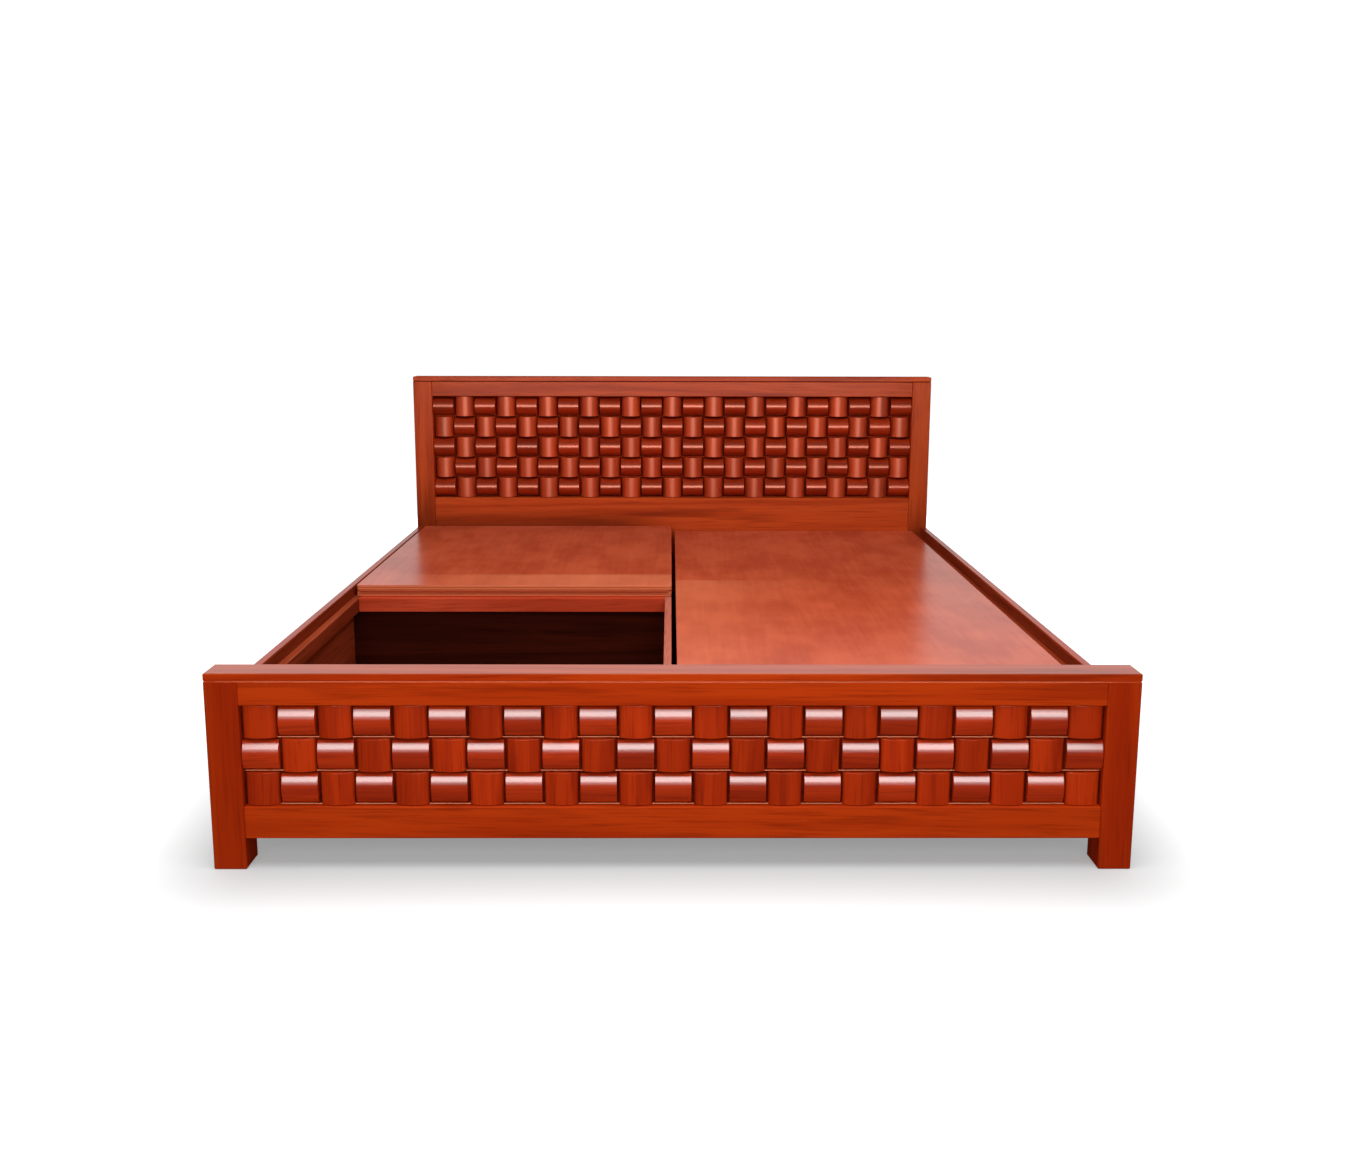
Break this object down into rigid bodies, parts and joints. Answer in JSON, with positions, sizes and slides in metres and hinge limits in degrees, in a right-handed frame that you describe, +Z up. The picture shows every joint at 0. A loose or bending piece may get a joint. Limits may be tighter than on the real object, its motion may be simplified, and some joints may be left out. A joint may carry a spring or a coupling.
{
  "type": "storage bed",
  "caption": "Low platform bed with basket-woven wooden head and foot ends and storage compartments under lift-off and folding lid boards.",
  "frame": {"origin": "on the floor, in the middle of the bed's footprint", "axes": "+X to the right for someone at the foot end, +Y from the foot end to the head end, +Z up"},
  "size_m": [1.905, 2.132, 0.914],
  "materials": {
    "post_wood": "dark red stain, semi-gloss lacquer",
    "frame_wood": "orange-red stain, semi-gloss lacquer",
    "weave_wood": "orange-red stain, gloss lacquer",
    "box_board": "stained plywood, satin",
    "lid_board": "stained plywood, semi-gloss lacquer",
    "hinge_steel": "plated, satin",
    "bracket_steel": "zinc plated"
  },
  "bodies": {
    "frame": {"foot_post_left": "post_wood", "foot_post_right": "post_wood", "head_post_left": "post_wood", "head_post_right": "post_wood", "foot_cap": "frame_wood", "foot_top_rail": "frame_wood", "foot_bottom_rail": "frame_wood", "head_cap": "frame_wood", "head_top_rail": "frame_wood", "head_lower_board": "frame_wood", "side_rail_left": "frame_wood", "side_rail_right": "frame_wood", "side_cleat_left": "frame_wood", "side_cleat_right": "frame_wood", "centre_wall_left": "frame_wood", "centre_wall_right": "frame_wood", "cross_bearer_left": "frame_wood", "cross_bearer_right": "frame_wood", "foot_cleat_left": "frame_wood", "foot_cleat_right": "frame_wood", "head_cleat_left": "frame_wood", "head_cleat_right": "frame_wood", "foot_weave_row_1": "weave_wood", "foot_weave_row_2": "weave_wood", "foot_weave_row_3": "weave_wood", "head_weave_row_1": "weave_wood", "head_weave_row_2": "weave_wood", "head_weave_row_3": "weave_wood", "head_weave_row_4": "weave_wood", "head_weave_row_5": "weave_wood", "foot_back_panel": "box_board", "head_back_panel": "box_board", "base_cleat_left": "box_board", "base_cleat_right": "box_board", "base_panel_left": "box_board", "base_panel_right": "box_board", "cross_wall_left": "box_board", "cross_wall_right": "box_board", "centre_beam": "box_board", "centre_leg_foot": "box_board", "centre_leg_middle": "box_board", "centre_leg_head": "box_board", "foot_bracket_left": "bracket_steel", "foot_bracket_right": "bracket_steel", "head_bracket_left": "bracket_steel", "head_bracket_right": "bracket_steel", "foot_rail_screw_left": "bracket_steel", "foot_rail_screw_right": "bracket_steel", "head_rail_screw_left": "bracket_steel", "head_rail_screw_right": "bracket_steel", "foot_post_screw_left": "bracket_steel", "foot_post_screw_right": "bracket_steel", "head_post_screw_left": "bracket_steel", "head_post_screw_right": "bracket_steel"},
    "left_head_lid": {"left_head_lid": "lid_board", "hinge_head_leaf": "hinge_steel", "hinge_pin": "hinge_steel"},
    "left_foot_lid": {"left_foot_lid": "lid_board", "hinge_foot_leaf": "hinge_steel"},
    "right_lid": {"right_lid": "lid_board"}
  },
  "joints": [
    {"name": "left_lid_lift", "type": "slide", "parent": "frame", "child": "left_head_lid", "axis": [0, 0, 1], "range_m": [0, 0.35]},
    {"name": "left_lid_fold", "type": "hinge", "parent": "left_head_lid", "child": "left_foot_lid", "pos_m": [-0.4625, 0, 0.3421], "axis": [1, 0, 0], "range_deg": [0, 180]},
    {"name": "right_lid_lift", "type": "slide", "parent": "frame", "child": "right_lid", "axis": [0, 0, 1], "range_m": [0, 0.35]}
  ]
}
